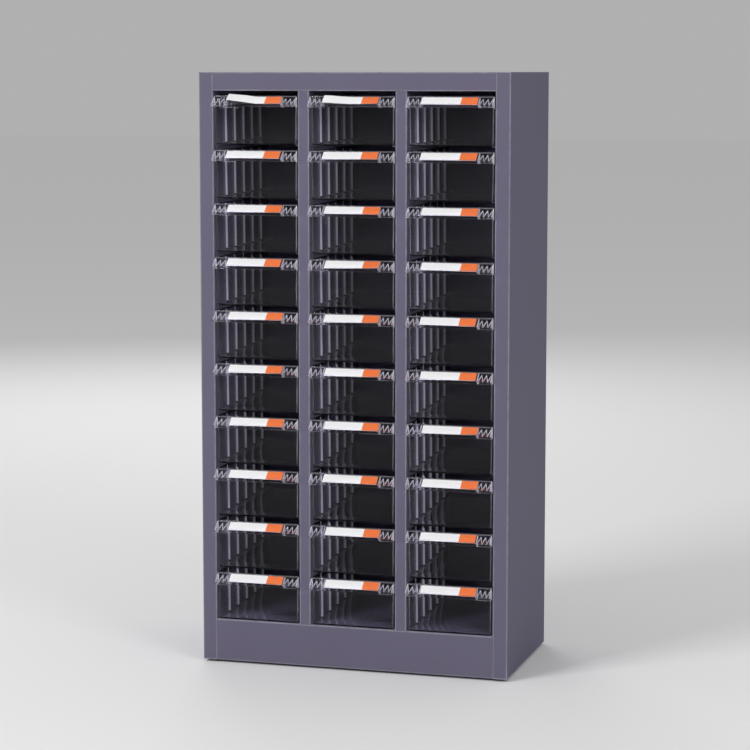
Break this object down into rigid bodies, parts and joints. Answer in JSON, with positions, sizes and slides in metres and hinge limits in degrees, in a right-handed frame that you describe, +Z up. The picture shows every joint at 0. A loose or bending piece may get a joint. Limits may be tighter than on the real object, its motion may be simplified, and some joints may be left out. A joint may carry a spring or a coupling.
{
  "type": "parts bin cabinet",
  "caption": "Free-standing grey sheet-steel parts cabinet with columns of clear plastic bins that slide out, each with a sloping label lip.",
  "frame": {"origin": "on the floor below the middle of the outline, label lips included", "axes": "+Z up, -Y out of the open front, +X to the right of a person who faces the bins"},
  "size_m": [0.5, 0.2866, 0.94],
  "materials": {
    "grey_paint": "satin powder coat",
    "clear_plastic": "clear, faintly smoky, glossy",
    "black_rubber": "matt"
  },
  "bodies": {
    "carcass": {"side_left": "grey_paint", "side_right": "grey_paint", "top_panel": "grey_paint", "base_rail": "grey_paint", "deck": "grey_paint", "back_panel": "grey_paint", "liner_left": "grey_paint", "liner_right": "grey_paint", "partition_1": "grey_paint", "partition_2": "grey_paint", "runners_c1": "grey_paint", "runners_c2": "grey_paint", "runners_c3": "grey_paint", "feet": "black_rubber", "gussets": "grey_paint"},
    "bin_r01_c1_body": {"bin_r01_c1": "clear_plastic"},
    "bin_r01_c2_body": {"bin_r01_c2": "clear_plastic"},
    "bin_r01_c3_body": {"bin_r01_c3": "clear_plastic"},
    "bin_r02_c1_body": {"bin_r02_c1": "clear_plastic"},
    "bin_r02_c2_body": {"bin_r02_c2": "clear_plastic"},
    "bin_r02_c3_body": {"bin_r02_c3": "clear_plastic"},
    "bin_r03_c1_body": {"bin_r03_c1": "clear_plastic"},
    "bin_r03_c2_body": {"bin_r03_c2": "clear_plastic"},
    "bin_r03_c3_body": {"bin_r03_c3": "clear_plastic"},
    "bin_r04_c1_body": {"bin_r04_c1": "clear_plastic"},
    "bin_r04_c2_body": {"bin_r04_c2": "clear_plastic"},
    "bin_r04_c3_body": {"bin_r04_c3": "clear_plastic"},
    "bin_r05_c1_body": {"bin_r05_c1": "clear_plastic"},
    "bin_r05_c2_body": {"bin_r05_c2": "clear_plastic"},
    "bin_r05_c3_body": {"bin_r05_c3": "clear_plastic"},
    "bin_r06_c1_body": {"bin_r06_c1": "clear_plastic"},
    "bin_r06_c2_body": {"bin_r06_c2": "clear_plastic"},
    "bin_r06_c3_body": {"bin_r06_c3": "clear_plastic"},
    "bin_r07_c1_body": {"bin_r07_c1": "clear_plastic"},
    "bin_r07_c2_body": {"bin_r07_c2": "clear_plastic"},
    "bin_r07_c3_body": {"bin_r07_c3": "clear_plastic"},
    "bin_r08_c1_body": {"bin_r08_c1": "clear_plastic"},
    "bin_r08_c2_body": {"bin_r08_c2": "clear_plastic"},
    "bin_r08_c3_body": {"bin_r08_c3": "clear_plastic"},
    "bin_r09_c1_body": {"bin_r09_c1": "clear_plastic"},
    "bin_r09_c2_body": {"bin_r09_c2": "clear_plastic"},
    "bin_r09_c3_body": {"bin_r09_c3": "clear_plastic"},
    "bin_r10_c1_body": {"bin_r10_c1": "clear_plastic"},
    "bin_r10_c2_body": {"bin_r10_c2": "clear_plastic"},
    "bin_r10_c3_body": {"bin_r10_c3": "clear_plastic"}
  },
  "joints": [
    {"name": "bin_r01_c1_slide", "type": "slide", "parent": "carcass", "child": "bin_r01_c1_body", "axis": [0, -1, 0], "range_m": [0, 0.19]},
    {"name": "bin_r01_c2_slide", "type": "slide", "parent": "carcass", "child": "bin_r01_c2_body", "axis": [0, -1, 0], "range_m": [0, 0.19]},
    {"name": "bin_r01_c3_slide", "type": "slide", "parent": "carcass", "child": "bin_r01_c3_body", "axis": [0, -1, 0], "range_m": [0, 0.19]},
    {"name": "bin_r02_c1_slide", "type": "slide", "parent": "carcass", "child": "bin_r02_c1_body", "axis": [0, -1, 0], "range_m": [0, 0.19]},
    {"name": "bin_r02_c2_slide", "type": "slide", "parent": "carcass", "child": "bin_r02_c2_body", "axis": [0, -1, 0], "range_m": [0, 0.19]},
    {"name": "bin_r02_c3_slide", "type": "slide", "parent": "carcass", "child": "bin_r02_c3_body", "axis": [0, -1, 0], "range_m": [0, 0.19]},
    {"name": "bin_r03_c1_slide", "type": "slide", "parent": "carcass", "child": "bin_r03_c1_body", "axis": [0, -1, 0], "range_m": [0, 0.19]},
    {"name": "bin_r03_c2_slide", "type": "slide", "parent": "carcass", "child": "bin_r03_c2_body", "axis": [0, -1, 0], "range_m": [0, 0.19]},
    {"name": "bin_r03_c3_slide", "type": "slide", "parent": "carcass", "child": "bin_r03_c3_body", "axis": [0, -1, 0], "range_m": [0, 0.19]},
    {"name": "bin_r04_c1_slide", "type": "slide", "parent": "carcass", "child": "bin_r04_c1_body", "axis": [0, -1, 0], "range_m": [0, 0.19]},
    {"name": "bin_r04_c2_slide", "type": "slide", "parent": "carcass", "child": "bin_r04_c2_body", "axis": [0, -1, 0], "range_m": [0, 0.19]},
    {"name": "bin_r04_c3_slide", "type": "slide", "parent": "carcass", "child": "bin_r04_c3_body", "axis": [0, -1, 0], "range_m": [0, 0.19]},
    {"name": "bin_r05_c1_slide", "type": "slide", "parent": "carcass", "child": "bin_r05_c1_body", "axis": [0, -1, 0], "range_m": [0, 0.19]},
    {"name": "bin_r05_c2_slide", "type": "slide", "parent": "carcass", "child": "bin_r05_c2_body", "axis": [0, -1, 0], "range_m": [0, 0.19]},
    {"name": "bin_r05_c3_slide", "type": "slide", "parent": "carcass", "child": "bin_r05_c3_body", "axis": [0, -1, 0], "range_m": [0, 0.19]},
    {"name": "bin_r06_c1_slide", "type": "slide", "parent": "carcass", "child": "bin_r06_c1_body", "axis": [0, -1, 0], "range_m": [0, 0.19]},
    {"name": "bin_r06_c2_slide", "type": "slide", "parent": "carcass", "child": "bin_r06_c2_body", "axis": [0, -1, 0], "range_m": [0, 0.19]},
    {"name": "bin_r06_c3_slide", "type": "slide", "parent": "carcass", "child": "bin_r06_c3_body", "axis": [0, -1, 0], "range_m": [0, 0.19]},
    {"name": "bin_r07_c1_slide", "type": "slide", "parent": "carcass", "child": "bin_r07_c1_body", "axis": [0, -1, 0], "range_m": [0, 0.19]},
    {"name": "bin_r07_c2_slide", "type": "slide", "parent": "carcass", "child": "bin_r07_c2_body", "axis": [0, -1, 0], "range_m": [0, 0.19]},
    {"name": "bin_r07_c3_slide", "type": "slide", "parent": "carcass", "child": "bin_r07_c3_body", "axis": [0, -1, 0], "range_m": [0, 0.19]},
    {"name": "bin_r08_c1_slide", "type": "slide", "parent": "carcass", "child": "bin_r08_c1_body", "axis": [0, -1, 0], "range_m": [0, 0.19]},
    {"name": "bin_r08_c2_slide", "type": "slide", "parent": "carcass", "child": "bin_r08_c2_body", "axis": [0, -1, 0], "range_m": [0, 0.19]},
    {"name": "bin_r08_c3_slide", "type": "slide", "parent": "carcass", "child": "bin_r08_c3_body", "axis": [0, -1, 0], "range_m": [0, 0.19]},
    {"name": "bin_r09_c1_slide", "type": "slide", "parent": "carcass", "child": "bin_r09_c1_body", "axis": [0, -1, 0], "range_m": [0, 0.19]},
    {"name": "bin_r09_c2_slide", "type": "slide", "parent": "carcass", "child": "bin_r09_c2_body", "axis": [0, -1, 0], "range_m": [0, 0.19]},
    {"name": "bin_r09_c3_slide", "type": "slide", "parent": "carcass", "child": "bin_r09_c3_body", "axis": [0, -1, 0], "range_m": [0, 0.19]},
    {"name": "bin_r10_c1_slide", "type": "slide", "parent": "carcass", "child": "bin_r10_c1_body", "axis": [0, -1, 0], "range_m": [0, 0.19]},
    {"name": "bin_r10_c2_slide", "type": "slide", "parent": "carcass", "child": "bin_r10_c2_body", "axis": [0, -1, 0], "range_m": [0, 0.19]},
    {"name": "bin_r10_c3_slide", "type": "slide", "parent": "carcass", "child": "bin_r10_c3_body", "axis": [0, -1, 0], "range_m": [0, 0.19]}
  ]
}
